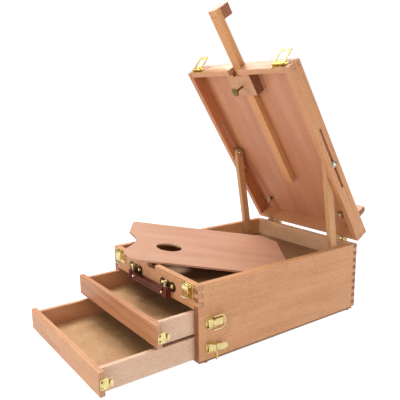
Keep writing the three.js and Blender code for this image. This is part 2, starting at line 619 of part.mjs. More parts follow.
for (const [side, x] of SIDES) {
  const bolt = group(lid, [0, -STRUT.boltAlong, SLOT.height]);
  place(bolt, `strut_bolt_${side}`, strutBolt(x), BRASS);
  const arm = group(box, [0, boltAtRest.y, boltAtRest.z]);
  arm.rotation.x = Math.atan2(strutSpan.x, -strutSpan.y);
  place(arm, `strut_${side}`, strut(x), PALE_BEECH);
  const nut = group(bolt, [x * (strutOuter - STRUT.thickness - GAP), 0, 0]);
  nut.rotation.y = -x * Math.PI / 2;
  place(nut, `strut_wing_nut_${side}`, wingNut(), BRASS);
}

// ---------------------------------------------- hasps on the lid's front rail
const HASP = {
  width: 30, low: 2, high: 17, pinY: -3.7, pinZ: 6.5, pin: 1.1, earNear: 6.2, earFar: 10,
  loopLength: 33, loopHalf: 14.5, strap: 4.5, sheet: 1.4, windowLow: 6.6, reliefHigh: 4.4,
};
const HASP_LEAN = 22;   // degrees that the loop stands off the rail when folded back

// Plate with two ears, each as far in from the plate's end, and the pin across them.
function haspBase() {
  const { width, low, high, pinY, pinZ, pin, earNear, earFar } = HASP;
  const plate = extrude('y', rounded([-width / 2, width / 2], [low, high], 1.5), [-1.3, -GAP]);
  const ears = SIDES.map(([, way]) => block([way * (width / 2 - earNear), way * (width / 2 - earFar)],
    [pinY - 1.9, -GAP], [pinZ - 1.9, pinZ + 1.9]));
  const rod = bar('x', [-width / 2 + 1, width / 2 - 1], [0, pinY, pinZ], pin, pin, 12);
  return shape([plate, ...ears, rod]);
}

// Rectangular frame in its own frame: pin on the x axis, loop towards +z.
function haspLoop() {
  const { width, pin, earNear, earFar, loopLength, loopHalf, strap, sheet, windowLow, reliefHigh } = HASP;
  const frame = rounded([-loopHalf, loopHalf], [-1.9, loopLength], 1.5);
  const window = block([-loopHalf + strap, loopHalf - strap], [-3, 3], [windowLow, loopLength - strap]);
  const reliefs = SIDES.map(([, way]) => block(
    [way * (width / 2 - earNear + 0.4), way * (width / 2 - earFar - 0.4)], [-3, 3], [-3, reliefHigh],
  ));
  const barrel = bar('x', [-loopHalf, loopHalf], [0, 0, 0], 2, 2, 16);
  const bore = bar('x', [-loopHalf - 1, loopHalf + 1], [0, 0, 0], pin + GAP, pin + GAP, 12);
  return shape([extrude('y', frame, [-sheet / 2, sheet / 2]), barrel], [window, ...reliefs, bore]);
}

for (const [side, x] of SIDES) {
  const hasp = group(lid, [x * CATCH_X, LID_FRONT, 0]);
  place(hasp, `hasp_base_${side}`, haspBase(), BRASS);
  const loop = group(hasp, [0, HASP.pinY, HASP.pinZ]);
  loop.rotation.x = THREE.MathUtils.degToRad(HASP_LEAN);
  place(loop, `hasp_loop_${side}`, haspLoop(), BRASS);
}

// ------------------------------------------------------------------- palette
// Loose plywood palette laid across the open compartment: it leans on the
// front rail and the left side, and its right end rests on the floor inside.
const PALETTE = {
  length: 324.5, width: 233, thickness: 3.5, heading: 56.8,
  slopeX: -0.124, slopeY: -0.0921, corner: [150.8, 221.3], cornerZ: 99.8,
  thumb: [-239, 85.6], thumbRadii: [25.5, 22],
};

function paletteOutline() {
  const { length, width } = PALETTE;
  const outline = new THREE.Shape();
  const cut = 30;
  outline.moveTo(-cut, 0);
  outline.lineTo(-length + 30, 0);
  outline.bezierCurveTo(-length + 12, 4, -length + 1, 18, -length + 1, 39);
  outline.bezierCurveTo(-length + 2, 64, -length + 18, 78, -length + 18, 105);
  outline.bezierCurveTo(-length + 18, 125, -length + 8, 141, -length, 157);
  outline.lineTo(-length + 1, width - 9);
  outline.quadraticCurveTo(-length + 2, width, -length + 12, width);
  outline.lineTo(-cut, width);
  outline.lineTo(0, width - cut);
  outline.lineTo(0, cut);
  return outline;
}

const normal = new THREE.Vector3(-PALETTE.slopeX, -PALETTE.slopeY, 1).normalize();
const heading = THREE.MathUtils.degToRad(PALETTE.heading);
const along = new THREE.Vector3(Math.cos(heading), Math.sin(heading), 0);
along.z = -(normal.x * along.x + normal.y * along.y) / normal.z;
along.normalize();
const palette = group(box, [...PALETTE.corner, PALETTE.cornerZ]);
palette.quaternion.setFromRotationMatrix(
  new THREE.Matrix4().makeBasis(along, normal.clone().cross(along), normal),
);
const thumbHole = bar('z', [-1, PALETTE.thickness + 1], [0, 0, 0], 1, 1, 40)
  .scale(...PALETTE.thumbRadii, 1)
  .translate(...PALETTE.thumb, 0);
place(palette, 'palette',
  shape([extrude('z', paletteOutline(), [0, PALETTE.thickness], 14)], [thumbHole]), PLYWOOD);

// The origin is the middle of the bounding box, on the surface the feet rest on.
easel.updateMatrixWorld(true);
const bounds = new THREE.Box3().setFromObject(easel, true);
const middle = bounds.getCenter(new THREE.Vector3());
easel.position.set(-middle.x, -middle.y, 0);

export default easel;
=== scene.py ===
"""Looks for the wooden table easel.

Procedural beech, plywood, hardboard, brass and leather on the CAD parts, with
screws, bolt ends, nails, rivets and stitching made here.
"""

import json
import math

import bmesh
import bpy
from mathutils import Matrix, Vector


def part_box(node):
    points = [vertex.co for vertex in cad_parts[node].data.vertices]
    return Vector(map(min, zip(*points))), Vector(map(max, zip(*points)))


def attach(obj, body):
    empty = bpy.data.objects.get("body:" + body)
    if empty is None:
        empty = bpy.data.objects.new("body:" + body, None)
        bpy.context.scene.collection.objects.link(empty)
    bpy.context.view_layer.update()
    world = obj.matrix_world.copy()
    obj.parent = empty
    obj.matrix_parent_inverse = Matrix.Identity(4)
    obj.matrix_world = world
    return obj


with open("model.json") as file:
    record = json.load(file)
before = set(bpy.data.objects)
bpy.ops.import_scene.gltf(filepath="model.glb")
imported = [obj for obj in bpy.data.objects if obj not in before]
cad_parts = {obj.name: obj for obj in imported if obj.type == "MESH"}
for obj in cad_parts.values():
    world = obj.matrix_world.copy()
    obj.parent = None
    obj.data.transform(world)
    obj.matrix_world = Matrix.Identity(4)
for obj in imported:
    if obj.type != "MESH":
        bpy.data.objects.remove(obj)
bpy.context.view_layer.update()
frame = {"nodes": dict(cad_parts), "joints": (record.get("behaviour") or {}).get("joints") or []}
MM = 0.001
NODES = frame["nodes"]
JOINTS = {joint["name"]: joint for joint in frame["joints"]}
SIDES = (("left", -1), ("right", 1))

# ------------------------------------------------------------------ places
# Case coordinates: x from the middle of the case, y back from its front
# face, z up from the underside of its boards.
case_low, case_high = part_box("case_side_right")
case_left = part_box("case_side_left")[0]
CASE_ORIGIN = Vector(((case_left.x + case_high.x) / 2, case_low.y, case_low.z))

# Lid coordinates: x from the middle, l along the lid from the hinge axis,
# t through the lid from its open rim.
LID_ALONG = Vector(JOINTS["mast_slide"]["axis"]).normalized()
LID_OUT = Vector(JOINTS["thumb_screw_turn"]["axis"]).normalized()
HINGE_AXIS = Vector(JOINTS["lid_hinge"]["pos_m"])


def in_case(x, y, z):
    return CASE_ORIGIN + Vector((x, y, z)) * MM


def in_lid(x, l, t):
    return HINGE_AXIS + Vector((x * MM, 0, 0)) + LID_ALONG * l * MM + LID_OUT * t * MM


# --------------------------------------------------------------- materials
class Nodes:
    """A short way to build one material's node tree."""

    def __init__(self, name):
        self.material = bpy.data.materials.new(name)
        self.material.use_nodes = True
        self.tree = self.material.node_tree
        self.tree.nodes.clear()
        self.shader = self.tree.nodes.new("ShaderNodeBsdfPrincipled")
        output = self.tree.nodes.new("ShaderNodeOutputMaterial")
        self.tree.links.new(self.shader.outputs["BSDF"], output.inputs["Surface"])

    def feed(self, socket, value):
        """Link a socket to another node's output, or set its value; None leaves it alone."""
        if isinstance(value, bpy.types.NodeSocket):
            self.tree.links.new(value, socket)
        elif value is not None:
            socket.default_value = value

    def add(self, kind, inputs=None, **settings):
        """Make a node of a kind, with its settings and its inputs."""
        node = self.tree.nodes.new(kind)
        for key, value in settings.items():
            setattr(node, key, value)
        for key, value in (inputs or {}).items():
            self.feed(node.inputs[key], value)
        return node

    def place(self, output="Object"):
        """Where on the object a point is, or with Normal which way it faces."""
        return self.add("ShaderNodeTexCoord").outputs[output]

    def stretch(self, vector, rotation, scale, location=(0, 0, 0)):
        """Turn a vector, then scale and move it."""
        turned = self.add("ShaderNodeMapping", {"Vector": vector, "Rotation": rotation}).outputs[0]
        return self.add("ShaderNodeMapping", {
            "Vector": turned, "Scale": scale, "Location": location,
        }).outputs[0]

    def noise(self, vector, scale, detail=3.0, roughness=0.55, distortion=0.0):
        """Cloudy noise from 0 to 1, mostly near the middle."""
        return self.add("ShaderNodeTexNoise", {
            "Vector": vector, "Scale": scale, "Detail": detail,
            "Roughness": roughness, "Distortion": distortion,
        }).outputs["Fac"]

    def math(self, operation, a, b=None):
        node = self.add("ShaderNodeMath", operation=operation)
        self.feed(node.inputs[0], a)
        self.feed(node.inputs[1], b)
        return node.outputs[0]

    def ramp(self, factor, *stops):
        """Colours by factor; each stop is a position and a colour."""
        node = self.add("ShaderNodeValToRGB", {"Fac": factor})
        elements = node.color_ramp.elements
        while len(elements) < len(stops):
            elements.new(1.0)
        for element, (position, color) in zip(elements, stops):
            element.position = position
            element.color = (*color, 1)
        return node.outputs["Color"]

    def range(self, value, low, high, to_low=0.0, to_high=1.0):
        """Map low..high onto to_low..to_high, clamped."""
        return self.add("ShaderNodeMapRange", {
            "Value": value, "From Min": low, "From Max": high, "To Min": to_low, "To Max": to_high,
        }).outputs["Result"]

    def mix(self, factor, a, b, blend="MIX"):
        node = self.add("ShaderNodeMix", data_type="RGBA", blend_type=blend)
        self.feed(node.inputs[0], factor)
        for socket, value in ((node.inputs[6], a), (node.inputs[7], b)):
            self.feed(socket, (*value, 1) if isinstance(value, tuple) else value)
        return node.outputs[2]

    def bump(self, height, strength, distance):
        return self.add("ShaderNodeBump", {
            "Height": height, "Strength": strength, "Distance": distance,
        }).outputs["Normal"]

    def finish(self, **inputs):
        """Feed the shader, with base_color for its Base Color and so on, and return the material."""
        for key, value in inputs.items():
            self.feed(self.shader.inputs[key.replace("_", " ").title()], value)
        return self.material


def srgb(red, green, blue):
    """Linear colour from 0-255 display values."""
    def linear(v):
        v /= 255
        return v / 12.92 if v <= 0.04045 else ((v + 0.055) / 1.055) ** 2.4
    return (linear(red), linear(green), linear(blue))


def darker(color, share):
    return tuple(channel * share for channel in color)


def turn_to(grain, face):
    """Euler angles that bring the grain direction onto x and the face's normal near z."""
    x = Vector(grain).normalized()
    z = Vector(face) - Vector(face).dot(x) * x
    z.normalize()
    y = z.cross(x)
    return Matrix((x, y, z)).to_euler()


# Each seed moves the noise by this many metres, so that no two boards look the same.
SEED_STEP = (0.37, 0.71, 0.53)
# Painted shade on the left board of a drawer box, whose inside lies in shade: a share of the box's own
# colour.
LEFT_BOARD_PAINTED_SHADE = (0.90, 0.66, 0.46)


def wood(name, grain, face, pale, mid, deep, end, seed,
         flecks=0.5, roughness=0.42, figure=0.12, painted_shade_end=None):
    """Flat-sawn beech: an even tone with faint arched growth lines and many short dark flecks.

    Colours: pale, mid and deep are the face from light to dark, end is the end grain.
    Strengths from 0 to 1: flecks, and figure for the growth lines.
    The last argument is the x, in metres, where the left board of a joined box ends. That board is painted
    darker and more orange, as painted shade.
    """
    n = Nodes(name)
    rotation = turn_to(grain, face)
    place = n.add("ShaderNodeMapping", {
        "Vector": n.place(), "Location": tuple(seed * step for step in SEED_STEP),
    }).outputs[0]
    broad = n.noise(n.stretch(place, rotation, (1.2, 9, 9)), 3.0, 3.0, 0.5, 0.3)
    bands = n.noise(n.stretch(place, rotation, (5.0, 100, 100)), 3.0, 4.0, 0.65, 0.4)
    tone = n.math("ADD", n.math("MULTIPLY", broad, 0.6), n.math("MULTIPLY", bands, 0.4))
    color = n.ramp(tone, (0.10, deep), (0.5, mid), (0.90, pale))
    # Growth lines are thin shells round a heart that lies off the board, so they arch on its face.
    shells = n.add("ShaderNodeTexWave", {
        "Vector": n.stretch(n.place(), rotation, (0.075, 1, 1), (0.03 + 0.004 * (seed % 5), 0.012, 0.035)),
        "Scale": 46.0, "Distortion": 2.2, "Detail": 2.0, "Detail Scale": 1.6,
    }, wave_type="RINGS", rings_direction="SPHERICAL", wave_profile="SAW").outputs["Fac"]
    color = n.mix(n.math("MULTIPLY", n.range(shells, 0.4, 1.0), figure), color, deep)
    # Painted shade: the left board of a drawer box is multiplied darker and more orange.
    if painted_shade_end is not None:
        across = n.add("ShaderNodeSeparateXYZ", {"Vector": n.place()}).outputs["X"]
        in_painted_shade = n.range(across, painted_shade_end, painted_shade_end + 0.5 * MM, 1.0, 0.0)
        color = n.mix(in_painted_shade, color, LEFT_BOARD_PAINTED_SHADE, "MULTIPLY")
    # Flecks: two sizes of short dashes, gathered in patches.
    long_dash = n.noise(n.stretch(place, rotation, (52, 230, 230)), 3.6, 1.0, 0.5)
    short_dash = n.noise(n.stretch(place, rotation, (80, 330, 330)), 4.0, 1.0, 0.5)
    patch = n.range(n.noise(place, 26.0, 2.0), 0.36, 0.58, 0.4, 1.0)
    dashes = n.math("MAXIMUM", n.range(long_dash, 0.56, 0.66), n.range(short_dash, 0.58, 0.68))
    fleck = n.math("MULTIPLY", dashes, patch)
    color = n.mix(n.math("MULTIPLY", fleck, flecks), color, darker(deep, 0.74))
    # End grain: where the surface faces along the grain it is darker and dotted with pores.
    facing = n.add("ShaderNodeVectorMath", {
        0: n.place("Normal"), 1: tuple(Vector(grain).normalized()),
    }, operation="DOT_PRODUCT").outputs["Value"]
    is_end = n.range(n.math("ABSOLUTE", facing), 0.72, 0.85)
    rings = n.noise(n.stretch(place, rotation, (1, 30, 260)), 1.0, 4.0, 0.65, 0.6)
    pores = n.noise(place, 900.0, 2.0)
    end_tone = n.math("ADD", n.math("MULTIPLY", rings, 0.6), n.math("MULTIPLY", pores, 0.4))
    end_color = n.ramp(end_tone, (0.30, darker(end, 0.62)), (0.62, end))
    color = n.mix(is_end, color, end_color)
    height = n.math("SUBTRACT", n.math("MULTIPLY", bands, 0.5), fleck)
    rough = n.range(bands, 0.3, 0.7, roughness - 0.05, roughness + 0.10)
    return n.finish(base_color=color, roughness=rough, normal=n.bump(height, 0.25, 0.0003),
                    coat_weight=0.08, coat_roughness=0.3)


def brass(name, tint, shade, roughness, seed=0.0):
    """Plated brass with faint cloudy tarnish and fine scratches."""
    n = Nodes(name)
    place = n.add("ShaderNodeMapping", {"Vector": n.place(), "Location": (seed, seed, seed)}).outputs[0]
    cloud = n.noise(place, 90.0, 4.0, 0.6)
    scratch = n.noise(n.stretch(place, (0.3, 0.5, 0.2), (60, 1400, 1400)), 1.0, 2.0)
    color = n.ramp(cloud, (0.35, shade), (0.62, tint))
    rough = n.math("ADD", n.range(cloud, 0.3, 0.7, roughness + 0.08, roughness - 0.04),
                   n.range(scratch, 0.4, 0.7, 0.0, 0.07))
    return n.finish(base_color=color, metallic=1.0, roughness=rough, normal=n.bump(scratch, 0.12, 0.0001))


X, Y, Z = (1, 0, 0), (0, 1, 0), (0, 0, 1)
ALONG, OUT = tuple(LID_ALONG), tuple(LID_OUT)


def tones(pale, mid, deep, end):
    """The colours of one kind of board: its face from light to dark, and its end grain."""
    return dict(pale=srgb(*pale), mid=srgb(*mid), deep=srgb(*deep), end=srgb(*end))


BEECH = tones((226, 170, 124), (214, 155, 108), (184, 118, 74), (164, 102, 68))
# Painted light: a paler copy of beech for the case back, whose inside face lies in shade.
PAINTED_LIGHT_BEECH = tones((248, 208, 166), (240, 194, 150), (216, 164, 118), (150, 98, 80))
RED_BEECH = tones((212, 152, 108), (199, 138, 95), (166, 101, 62), (164, 102, 68))
# Painted shade: a darker, more orange copy of beech for the left lid side, whose inside face lies in shade.
PAINTED_SHADE_BEECH = tones((214, 146, 96), (200, 126, 78), (168, 94, 52), (160, 98, 64))
DRAWER_BEECH = tones((234, 201, 175), (224, 187, 159), (200, 152, 119), (184, 136, 104))
GOLDEN = tones((218, 172, 124), (206, 154, 104), (182, 126, 78), (176, 118, 74))
GUIDE_BEECH = tones((222, 168, 122), (208, 150, 104), (178, 114, 70), (144, 92, 62))
MAST_BEECH = tones((230, 174, 116), (218, 154, 96), (190, 122, 66), (176, 118, 74))
PLY = tones((228, 180, 148), (204, 142, 104), (166, 98, 62), (150, 100, 70))
PALETTE_PLY = tones((220, 178, 152), (204, 156, 128), (182, 126, 94), (150, 104, 76))
PALE_END = {"end": srgb(206, 152, 114)}

WOODS = {
    # node names: grain direction, broad face normal, colours, extra settings
    ("case_side_left", "case_side_right"): (Y, X, BEECH, {}),
    ("case_front_rail",): (X, Y, BEECH, PALE_END),
    # painted light on the case back
    ("case_back",): (X, Y, PAINTED_LIGHT_BEECH, {}),
    ("runner_left", "runner_right"): (Y, Z, GOLDEN, {}),
    ("upper_drawer_front",): (X, Y, RED_BEECH, {"figure": 0.6, **PALE_END}),
    ("lower_drawer_front",): (X, Y, BEECH, {"figure": 0.5, **PALE_END}),
    # painted shade on the left lid side
    ("lid_side_left",): (ALONG, X, PAINTED_SHADE_BEECH, {}),
    ("lid_side_right",): (ALONG, X, BEECH, {"end": srgb(188, 128, 88)}),
    ("lid_front_rail", "lid_hinge_rail"): (X, ALONG, BEECH, PALE_END),
    ("lid_panel",): (ALONG, OUT, PLY, {"flecks": 0.25}),
    ("mast",): (ALONG, OUT, MAST_BEECH, {}),
    ("mast_hook",): (X, OUT, BEECH, {}),
    ("mast_guide_block",): (X, OUT, GUIDE_BEECH, {}),
    ("ledge",): (X, OUT, BEECH, {}),
}


def assign(material, *names):
    """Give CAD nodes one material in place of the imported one."""
    for name in names:
        NODES[name].data.materials.clear()
        NODES[name].data.materials.append(material)


seed = 0
for names, (grain, face, colors, extra) in WOODS.items():
    for name in names:
        seed += 1
        assign(wood(f"{name}_wood", grain, face, seed=seed, **{**colors, **extra}), name)

# A strut at rest runs from its bolt in the lid slot down to the middle of its round foot.
STRUT_RADIUS = 8 * MM
STRUT_SEED = 30
strut_low, strut_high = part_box("strut_left")
STRUT_FOOT = Vector((0, strut_high.y - STRUT_RADIUS, strut_low.z + STRUT_RADIUS))
STRUT_TOP = Vector((0, *Vector(JOINTS["strut_left_pivot"]["pos_m"]).yz))
STRUT_GRAIN = tuple((STRUT_FOOT - STRUT_TOP).normalized())
for side, x in SIDES:
    assign(wood(f"strut_{side}_wood", STRUT_GRAIN, X, seed=STRUT_SEED + x, **GOLDEN), f"strut_{side}")

# The left board of a drawer box is as thick as its other boards, plus a little for the bevel.
DRAWER_SIDE = 8 * MM
BEVEL_ALLOWANCE = 0.1 * MM
DRAWER_SEEDS = {"upper": 41, "lower": 47}
# Each drawer box's left board gets painted shade in its wood.
for drawer, seed in DRAWER_SEEDS.items():
    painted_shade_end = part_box(f"{drawer}_drawer_box")[0].x + DRAWER_SIDE + BEVEL_ALLOWANCE
    box_wood = wood(f"{drawer}_drawer_box_wood", Y, X, seed=seed, painted_shade_end=painted_shade_end, **DRAWER_BEECH)
    assign(box_wood, f"{drawer}_drawer_box")


def hardboard(name, low, mid, high):
    """Pressed fibre sheet: brown, mottled, with short pale fibres; its rough underside is painted darker, as
    painted shade.
    """
    n = Nodes(name)
    place = n.place()
    mottle = n.noise(place, 38.0, 5.0, 0.65)
    fibres = n.noise(n.stretch(place, (0, 0, 0.6), (380, 90, 380)), 1.0, 4.0, 0.7, 1.5)
    tone = n.math("ADD", n.math("MULTIPLY", mottle, 0.5), n.math("MULTIPLY", fibres, 0.5))
    color = n.ramp(tone, (0.34, low), (0.52, mid), (0.68, high))
    # Painted shade: faces that look down are darkened towards a quarter of the low colour.
    up = n.add("ShaderNodeSeparateXYZ", {"Vector": n.place("Normal")}).outputs["Z"]
    color = n.mix(n.range(up, -0.5, 0.0, 1.0, 0.0), color, darker(low, 0.25))
    return n.finish(base_color=color, roughness=0.62, normal=n.bump(fibres, 0.3, 0.0002))


def leather():
    """Dyed harness leather: pebbled grain, creases and lighter rubbed patches."""
    n = Nodes("leather")
    place = n.place()
    pebble = n.add("ShaderNodeTexVoronoi", {"Vector": place, "Scale": 900.0}).outputs["Distance"]
    crease = n.noise(n.stretch(place, (0, 0, 0), (1, 2, 2)), 120.0, 4.0, 0.6, 1.0)
    rub = n.noise(place, 45.0, 3.0)
    color = n.ramp(rub, (0.35, srgb(68, 23, 16)), (0.6, srgb(102, 38, 26)), (0.75, srgb(136, 62, 44)))
    height = n.math("ADD", n.math("MULTIPLY", pebble, 0.7), n.math("MULTIPLY", crease, 0.6))
    return n.finish(base_color=color, roughness=n.range(crease, 0.3, 0.7, 0.36, 0.5),
                    normal=n.bump(height, 0.5, 0.0004))


def rubber():
    """Dull red-brown rubber with a little dust on it."""
    n = Nodes("rubber")
    dust = n.noise(n.place(), 260.0, 3.0)
    color = n.ramp(dust, (0.3, srgb(150, 62, 44)), (0.7, srgb(192, 96, 72)))
    return n.finish(base_color=color, roughness=0.75, normal=n.bump(dust, 0.3, 0.0002))


# A handle plate is rubbed bright, with a painted highlight, where it stands this far in front of the case, in
# metres.
RUBBED_AND_HIGHLIGHT_FROM, RUBBED_AND_HIGHLIGHT_FULLY = 1.9 * MM, 2.4 * MM


def antique_brass():
    """Dark patinated plate whose parts that stand proud are rubbed bright, and painted near-white and half
    metallic as a painted highlight.
    """
    n = Nodes("antique_brass")
    place = n.place()
    cloud = n.noise(place, 160.0, 4.0, 0.6)
    dark = n.ramp(cloud, (0.35, srgb(52, 40, 20)), (0.7, srgb(128, 102, 54)))
    depth = n.add("ShaderNodeSeparateXYZ", {"Vector": place}).outputs["Y"]
    front = CASE_ORIGIN.y
    wear_and_highlight = n.range(depth, front - RUBBED_AND_HIGHLIGHT_FULLY, front - RUBBED_AND_HIGHLIGHT_FROM, 1.0, 0.0)
    # Rubbed wear and a painted highlight: the proud parts are near-white and only half metallic.
    color = n.mix(wear_and_highlight, dark, srgb(255, 240, 190))
    return n.finish(base_color=color, metallic=n.range(wear_and_highlight, 0.0, 1.0, 1.0, 0.5),
                    roughness=n.range(cloud, 0.3, 0.7, 0.28, 0.42),
                    normal=n.bump(cloud, 0.15, 0.0002))


PALE_BRASS = brass("pale_brass", srgb(246, 230, 172), srgb(226, 202, 130), 0.22)
ANTIQUE_BRASS = antique_brass()
PLATED_STEEL = brass("plated_steel", srgb(226, 220, 204), srgb(172, 166, 150), 0.24, 6.0)
WORN_BRASS = brass("worn_brass", srgb(226, 202, 140), srgb(128, 106, 58), 0.3, 8.0)
OLIVE_BRASS = brass("olive_brass", srgb(150, 130, 76), srgb(88, 72, 38), 0.3, 4.0)
DEEP_BRASS = brass("deep_brass", srgb(214, 180, 88), srgb(170, 132, 58), 0.36, 2.0)
DRAWER_HARDBOARD = hardboard("drawer_hardboard", srgb(172, 125, 80), srgb(191, 146, 99), srgb(205, 164, 119))
# Painted shade: the case's hardboard is much darker than the drawers' and stands in for the shade under the
# palette.
PAINTED_SHADE_HARDBOARD = hardboard("case_hardboard_painted_shade", srgb(122, 84, 52), srgb(141, 103, 67), srgb(157, 120, 82))
BRIGHT = ("hinge_left", "hinge_right", "hook_plate", "latch", "catch")
assign(DRAWER_HARDBOARD, "upper_drawer_bottom", "lower_drawer_bottom")
assign(PAINTED_SHADE_HARDBOARD, "compartment_floor", "bottom_panel")
assign(rubber(), *[name for name in NODES if name.startswith("foot_")])
assign(leather(), "handle_grip")
assign(ANTIQUE_BRASS, "handle_plate_left", "handle_plate_right")
assign(OLIVE_BRASS, "mast_thumb_screw")
assign(WORN_BRASS, *[name for name in NODES if "wing_nut" in name])
assign(PLATED_STEEL, "strut_bolt_left", "strut_bolt_right")
assign(DEEP_BRASS, *[name for name in NODES if name.startswith("hasp")])
assign(PALE_BRASS, *[name for name in NODES if any(word in name for word in BRIGHT)])

# The palette's grain runs along its long side as it leans in the case.
PALETTE_GRAIN = (0.542, 0.828, -0.1435)
assign(wood("palette_wood", PALETTE_GRAIN, Z, seed=63, flecks=0.3, roughness=0.4, figure=0.15, **PALETTE_PLY),
       "palette")

# ------------------------------------------------------------ edge rounding
# Bevel widths in millimetres, by how a node's name starts.
EDGES = (
    (0.7, ("case_side", "case_front_rail", "case_back", "lid_side", "lid_front_rail", "lid_hinge_rail",
           "strut_left", "strut_right", "ledge", "mast")),
    (0.5, ("upper_drawer", "lower_drawer", "palette")),
    (2.2, ("handle_grip",)),
)
# Sheet metal has one of these words anywhere in its name.
METAL_EDGE = 0.25
METAL_WORDS = ("hinge_left", "hinge_right", "catch", "hasp", "hook_plate", "latch", "handle_plate")
UNROUNDED = ("wing_nut", "bolt")
WELD_DISTANCE = 0.02 * MM
BEVEL_ANGLE = math.radians(40)


def edge_width(name):
    """Bevel width in millimetres for a node, or None if its edges stay as they are."""
    if any(word in name for word in UNROUNDED):
        return None
    for width, starts in EDGES:
        if name.startswith(starts):
            return width
    if any(word in name for word in METAL_WORDS):
        return METAL_EDGE
    return None


def soften(node, width):
    weld = node.modifiers.new("weld", "WELD")
    weld.merge_threshold = WELD_DISTANCE
    bevel = node.modifiers.new("round_edges", "BEVEL")
    bevel.width = width * MM
    bevel.segments = 2
    bevel.limit_method = "ANGLE"
    bevel.angle_limit = BEVEL_ANGLE
    bevel.use_clamp_overlap = True
    bevel.harden_normals = False


for name, node in NODES.items():
    width = edge_width(name)
    if width:
        soften(node, width)


# ------------------------------------------------------- small made pieces
def piece(name, bm, material, body, sharp):
    """Turn a bmesh into one detail piece, shade it and let it ride on its body."""
    mesh = bpy.data.meshes.new(name)
    bm.to_mesh(mesh)
    bm.free()
    mesh.materials.append(material)
    mesh.polygons.foreach_set("use_smooth", [True] * len(mesh.polygons))
    mesh.set_sharp_from_angle(angle=math.radians(sharp))
    made = bpy.data.objects.new(name, mesh)
    bpy.context.scene.collection.objects.link(made)
    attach(made, body)


def frame_at(place, normal, spin=0.0):
    """Matrix whose z axis is the normal, at a place, spun about that normal."""
    turn = Vector(normal).to_track_quat("Z", "Y").to_matrix().to_4x4()
    return Matrix.Translation(place) @ turn @ Matrix.Rotation(spin, 4, "Z")


def turned_mesh(bm, profile, matrix, around, dent=None):
    """Lathe a profile of (radius, height) in millimetres; dent lowers points for a driver recess."""
    rings = []
    for radius, height in profile:
        if radius < 1e-6:
            rings.append([bm.verts.new(matrix @ Vector((0, 0, height * MM)))])
            continue
        ring = []
        for k in range(around):
            angle = 2 * math.pi * k / around
            x, y = radius * math.cos(angle), radius * math.sin(angle)
            drop = dent(x, y) if dent else 0.0
            ring.append(bm.verts.new(matrix @ Vector((x * MM, y * MM, (height - drop) * MM))))
        rings.append(ring)
    for lower, upper in zip(rings, rings[1:]):
        for k in range(around):
            nxt = (k + 1) % around
            if len(upper) == 1:
                bm.faces.new((lower[k], lower[nxt], upper[0]))
            elif len(lower) == 1:
                bm.faces.new((lower[0], upper[nxt], upper[k]))
            else:
                bm.faces.new((lower[k], lower[nxt], upper[nxt], upper[k]))


def dome(radius, base, rise, steps):
    """Profile points of a dome from its base height up, without the point on its axis."""
    angles = [step / steps * math.pi / 2 for step in range(1, steps)]
    return [(radius * math.cos(angle), base + rise * math.sin(angle)) for angle in angles]


# Each screw of a set is turned further than the last, as if driven by hand.
FIRST_TURN, NEXT_TURN = 0.4, 1.3


def screw_heads(name, places, normal, radius, body, material, rise=0.35):
    """Domed cross-head screws, one mesh for a set on the same body; rise is a share of the radius."""
    arm, reach, recess, rim = (share * radius for share in (0.17, 0.62, 0.30, 0.12))

    def cross(x, y):
        inside = (abs(x) < arm or abs(y) < arm) and math.hypot(x, y) < reach
        return recess if inside else 0.0

    profile = [(radius, 0.0), (radius, rim), *dome(radius, rim, rise * radius, 9)]
    profile.append((0.0, rim + rise * radius - recess))
    bm = bmesh.new()
    for index, place in enumerate(places):
        turned_mesh(bm, profile, frame_at(place, normal, FIRST_TURN + NEXT_TURN * index), 40, cross)
    piece(name, bm, material, body, 30)


def threaded_rod(name, place, direction, radius, length, body, material, pitch=0.9):
    """Bolt end with turned thread ridges and a chamfered tip."""
    root, shoulder, tip = radius * 0.84, radius * 0.95, radius * 0.6
    profile = [(radius, 0.0)]
    height = 0.0
    while height < length - 1.2:
        profile += [(radius, height + pitch * 0.25), (root, height + pitch * 0.75)]
        height += pitch
    profile += [(shoulder, length - 1.0), (tip, length), (0.0, length)]
    bm = bmesh.new()
    turned_mesh(bm, profile, frame_at(place, direction), 18)
    piece(name, bm, material, body, 50)


def dome_heads(name, places, normal, radius, height, body, material):
    """Plain domed heads on a thin collar: bolts, nails and rivets."""
    collar, collar_top, dome_base = radius * 1.12, height * 0.12, height * 0.2
    profile = [(collar, 0.0), (collar, collar_top), (radius, dome_base)]
    profile += dome(radius, dome_base, height - dome_base, 7)
    profile.append((0.0, height))
    bm = bmesh.new()
    for place in places:
        turned_mesh(bm, profile, frame_at(place, normal), 28)
    piece(name, bm, material, body, 40)


# Places of the fittings in millimetres, as the CAD has them: x is from the middle, and a face
# is where the heads on it start. Case faces are y values, lid faces are l or t values.
HINGE = dict(x=97, spacing=15, case_face=401.5, z=125.5, lid_face=2.9, t=11, screw=1.9)
CATCH = dict(x=121, spread=13.2, face=-1.5, rows=(112, 131), screw=1.5)
HASP = dict(x=121, spacing=11.6, face=405.7, t=13.5, screw=1.6)
HANDLE_PLATE = dict(x=58, spread=16, face=-1.7, z=112, screw=4.0)
STRUT = dict(inner_face=127.4, screw=4.2)
LEDGE_BOLT = dict(x=107, l=50, inside=26.4, outside=51.7, radius=2.3, length=11.5, head=5.6, head_height=3.0)
KEEPER = dict(face=151.5, y=-5.3, spread=4.6, screw=2.1)
LATCH = dict(face=151.3, corners=((16.2, 5), (28.6, 7.3)), screw=1.3)
MAST_NAILS = dict(xs=(-5, 4), l=506, t=14.1, radius=1.1, height=0.5)
DRAWERS = {
    # drawer: how far it is pulled out, height of its latch
    "upper": (70, 66),
    "lower": (172, 22),
}
BACK, FORWARD = Vector((0, 1, 0)), Vector((0, -1, 0))


